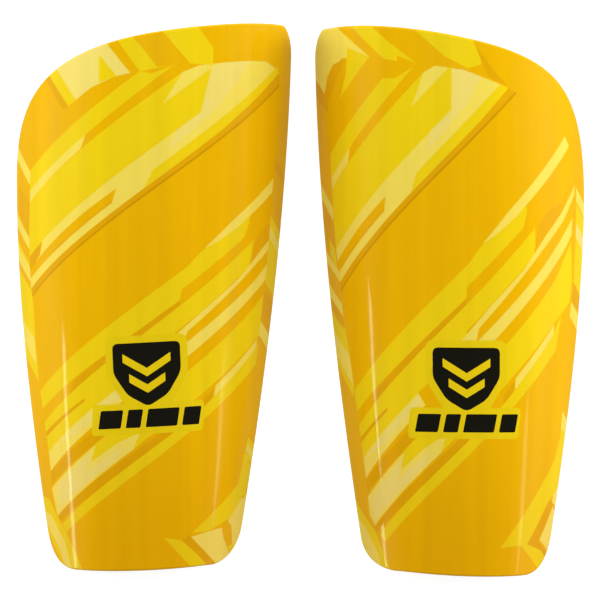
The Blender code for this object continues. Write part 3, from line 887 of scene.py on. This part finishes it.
# ----------------------------------------------------------------------------
# Floor, light and camera
# ----------------------------------------------------------------------------
def floor():
    """A bright table that curves up into a backdrop. It is left out of the
    gloss: the world stands for what the film reflects."""
    n = Nodes("studio_floor")
    place = n.add("ShaderNodeTexCoord").outputs["Object"]
    tone = n.add("ShaderNodeTexNoise", inputs={"Vector": place, "Scale": 3.0, "Detail": 2.0})
    n.link(n.ramp(tone.outputs["Fac"], [(0.3, (0.24, 0.24, 0.24)), (0.7, (0.26, 0.26, 0.26))]), n.bsdf.inputs["Base Color"])
    n.bsdf.inputs["Roughness"].default_value = 0.7
    n.bsdf.inputs["Specular IOR Level"].default_value = 0.0
    n.bsdf.inputs["Emission Color"].default_value = (1.0, 1.0, 1.0, 1.0)
    n.bsdf.inputs["Emission Strength"].default_value = 0.93
    profile = [(r, 0.0) for r in (0.5, 1.5, 3.0, 5.0, 6.5)]
    profile += [(6.5 + 1.5 * math.sin(math.radians(t)), 1.5 - 1.5 * math.cos(math.radians(t))) for t in range(10, 91, 10)]
    profile += [(8.0, 2.2)]
    bm = bmesh.new()
    rings = [[bm.verts.new((r * math.cos(2 * math.pi * k / 96), r * math.sin(2 * math.pi * k / 96), z - 0.0002))
              for k in range(96)] for r, z in profile]
    bm.faces.new(rings[0])
    for low, high in zip(rings, rings[1:]):
        for k in range(96):
            bm.faces.new((low[k - 1], high[k - 1], high[k], low[k]))
    for face in bm.faces:
        face.smooth = True
    mesh = bpy.data.meshes.new("studio_floor")
    bm.to_mesh(mesh)
    bm.free()
    mesh.materials.append(n.mat)
    obj = bpy.data.objects.new("studio_floor", mesh)
    bpy.context.scene.collection.objects.link(obj)
    obj.visible_glossy = False


def area(name, at, target, size, power, glossy=True, colour=(1.0, 1.0, 1.0), roll=0.0):
    data = bpy.data.lights.new(name, "AREA")
    data.shape = "RECTANGLE"
    data.size, data.size_y = size
    data.energy = power
    data.color = colour
    obj = bpy.data.objects.new(name, data)
    bpy.context.scene.collection.objects.link(obj)
    obj.location = at
    direction = Vector(target) - Vector(at)
    obj.rotation_mode = "QUATERNION"
    obj.rotation_quaternion = direction.to_track_quat("-Z", "Y")
    if roll:
        obj.rotation_quaternion = obj.rotation_quaternion @ Matrix.Rotation(roll, 3, "Z").to_quaternion()
    obj.visible_glossy = glossy
    obj.visible_camera = False
    return obj


def strip(name, start, end, width, radiance, colour, target=(0.0, -0.05, 0.02)):
    """A thin light between two points, facing the target."""
    a, b = Vector(start), Vector(end)
    middle = (a + b) / 2
    y = (b - a).normalized()
    z = -(Vector(target) - middle)
    z = (z - y * z.dot(y)).normalized()
    x = y.cross(z)
    data = bpy.data.lights.new(name, "AREA")
    data.shape = "RECTANGLE"
    data.size, data.size_y = width, (b - a).length
    data.energy = radiance * math.pi * width * (b - a).length
    data.color = colour
    obj = bpy.data.objects.new(name, data)
    bpy.context.scene.collection.objects.link(obj)
    obj.matrix_world = Matrix.Translation(middle) @ Matrix((x, y, z)).transposed().to_4x4()
    obj.visible_camera = False
    return obj


def world():
    w = bpy.data.worlds.new("studio")
    bpy.context.scene.world = w
    w.use_nodes = True
    t = w.node_tree
    back = t.nodes["Background"]
    coord = t.nodes.new("ShaderNodeTexCoord")
    split = t.nodes.new("ShaderNodeSeparateXYZ")
    ramp = t.nodes.new("ShaderNodeValToRGB")
    height = t.nodes.new("ShaderNodeMapRange")       # -1 straight down, 1 straight up
    height.inputs["From Min"].default_value = -1.0
    t.links.new(coord.outputs["Generated"], split.inputs["Vector"])
    t.links.new(split.outputs["Z"], height.inputs["Value"])
    t.links.new(height.outputs["Result"], ramp.inputs["Fac"])
    r = ramp.color_ramp
    # warm cards round the set, brightest just above the table and underneath
    stops = ((-1.0, 1.00), (-0.84, 0.85), (-0.66, 0.28), (-0.25, 0.26), (0.0, 0.62), (0.06, 0.72), (0.20, 0.34), (0.50, 0.02))
    for _ in stops[2:]:
        r.elements.new(0.5)
    for el, (z, v) in zip(r.elements, stops):
        el.position = 0.5 + 0.5 * z
        el.color = (v, v * 0.91, v * 0.62, 1.0)
    t.links.new(ramp.outputs["Color"], back.inputs["Color"])


def lights():
    area("fill_above", (0.0, 1.0, 1.95), (0.0, 0.0, 0.0), (1.6, 1.6), 40.0, glossy=False)
    area("key_left", (-1.25, 0.30, 0.46), (0.0, 0.0, 0.02), (0.55, 0.9), 11.5, glossy=False)
    area("key_right", (1.25, 0.30, 0.46), (0.0, 0.0, 0.02), (0.55, 0.9), 15.0, glossy=False)
    strip("strip_left_a", (-1.1, -0.130, 0.275), (-1.1, -0.280, 0.150), 0.044, 9.5, (0.85, 1.0, 0.62))
    strip("strip_left_b", (-1.1, -0.280, 0.150), (-1.1, -0.375, -0.015), 0.044, 9.5, (0.85, 1.0, 0.62))
    strip("strip_right", (1.1, -0.225, 0.385), (1.1, -0.345, 0.215), 0.055, 4.0, (0.90, 1.0, 0.50))


def camera():
    data = bpy.data.cameras.new("camera")
    data.sensor_width = 36.0
    data.lens = 241.0
    obj = bpy.data.objects.new("camera", data)
    bpy.context.scene.collection.objects.link(obj)
    obj.location = (-0.00017, -0.00008, 1.5)
    obj.rotation_euler = (0.0, 0.0, 0.0)
    bpy.context.scene.camera = obj


camera()
MATERIALS = {"film": film_material(), "shell": shell_material(), "adhesive": adhesive_material(),
             "foam": foam_material(), "lining": lining_material()}
for guard in (LEFT, RIGHT):
    build(guard, MATERIALS)
floor()
world()
lights()
bpy.context.scene.view_settings.view_transform = "Standard"
